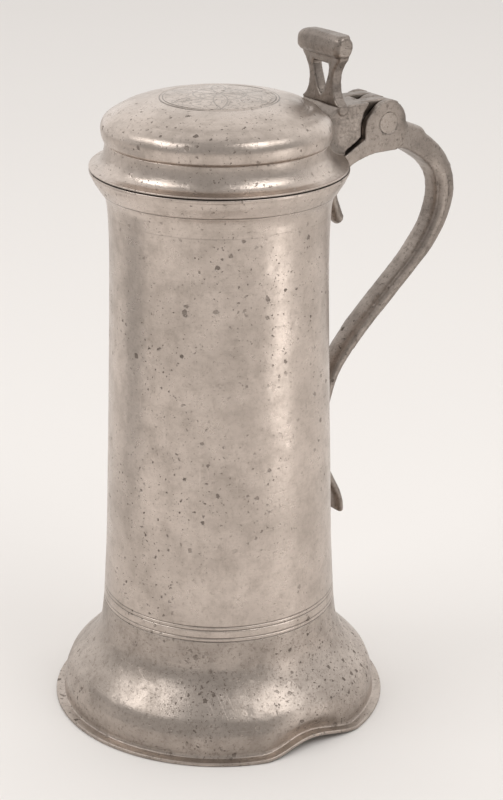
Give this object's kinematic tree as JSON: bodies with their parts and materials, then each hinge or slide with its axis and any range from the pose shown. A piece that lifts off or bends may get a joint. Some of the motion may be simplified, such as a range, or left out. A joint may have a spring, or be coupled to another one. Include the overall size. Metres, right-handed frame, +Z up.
{
  "type": "lidded flagon",
  "caption": "Tall pewter flagon: tapered drum on a bell foot, hinged bun lid with pierced thumbpiece, long S-shaped handle.",
  "frame": {"origin": "centre of the flat ring that the foot rests on", "axes": "+Z up along the drum's axis, +X towards the handle, the hinge pin lies along Y"},
  "size_m": [0.2019, 0.152, 0.3034],
  "materials": {
    "pewter": "worn, softly polished old pewter with pits and fine scratches",
    "cast_pewter": "dull, darker cast pewter",
    "pin_iron": "dark iron, hidden inside the hinge"
  },
  "bodies": {
    "vessel": {"drum": "pewter", "foot": "pewter", "floor_plate": "pewter", "handle": "cast_pewter", "hinge_pin": "pin_iron", "pin_plug_near": "cast_pewter", "pin_plug_far": "cast_pewter"},
    "lid": {"lid_flange": "pewter", "lid_bun": "pewter", "lid_bezel": "pewter", "lid_lug": "cast_pewter", "thumbpiece": "cast_pewter"}
  },
  "joints": [
    {"name": "lid_hinge", "type": "hinge", "parent": "vessel", "child": "lid", "pos_m": [0.0801, 0, 0.2619], "axis": [0, 1, 0], "range_deg": [0, 110]}
  ]
}
